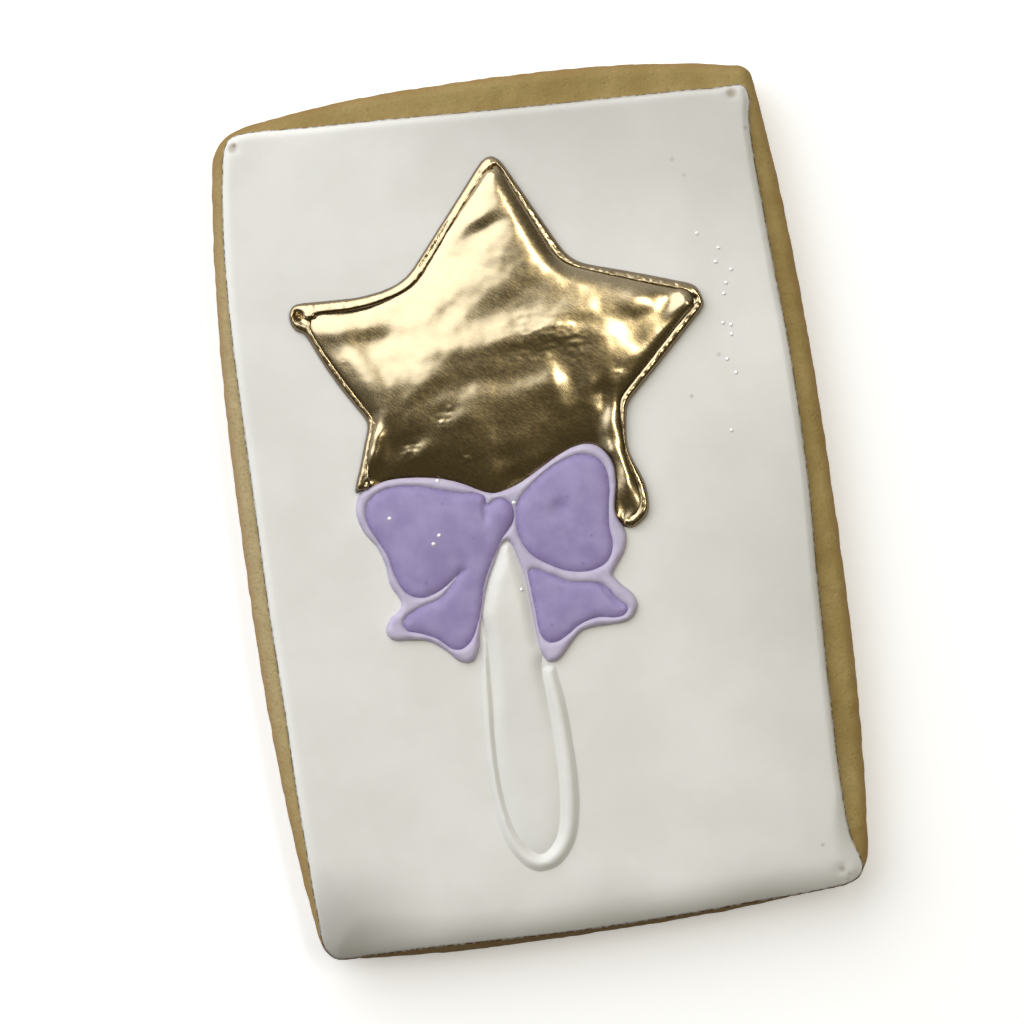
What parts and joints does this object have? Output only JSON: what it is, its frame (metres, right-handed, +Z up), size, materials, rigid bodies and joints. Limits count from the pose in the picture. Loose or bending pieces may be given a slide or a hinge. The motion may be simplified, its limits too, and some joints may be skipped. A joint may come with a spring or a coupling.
{
  "type": "iced sugar cookie",
  "caption": "Rectangular sugar biscuit under white royal icing, with a gilded star wand, a lilac bow and a white handle piped in relief on top.",
  "frame": {"origin": "middle of the biscuit's bounding box, on its flat underside", "axes": "+X across the biscuit to the right, +Y up the wand towards the star's point, +Z up out of the icing"},
  "size_m": [0.0622, 0.0904, 0.0105],
  "materials": {
    "biscuit": "matt baked crumb",
    "white_icing": "satin",
    "gold_icing": "brushed-on metallic lustre",
    "lilac_icing": "satin",
    "pale_lilac_icing": "satin"
  },
  "bodies": {
    "root": {"biscuit": "biscuit", "base_icing": "white_icing", "star_outline": "gold_icing", "star_flood": "gold_icing", "bow_outline": "pale_lilac_icing", "bow_left_loop": "lilac_icing", "bow_knot": "lilac_icing", "bow_left_tail": "lilac_icing", "bow_right_loop": "lilac_icing", "bow_right_tail": "lilac_icing", "handle_outline": "white_icing", "handle_flood": "white_icing"}
  },
  "joints": []
}
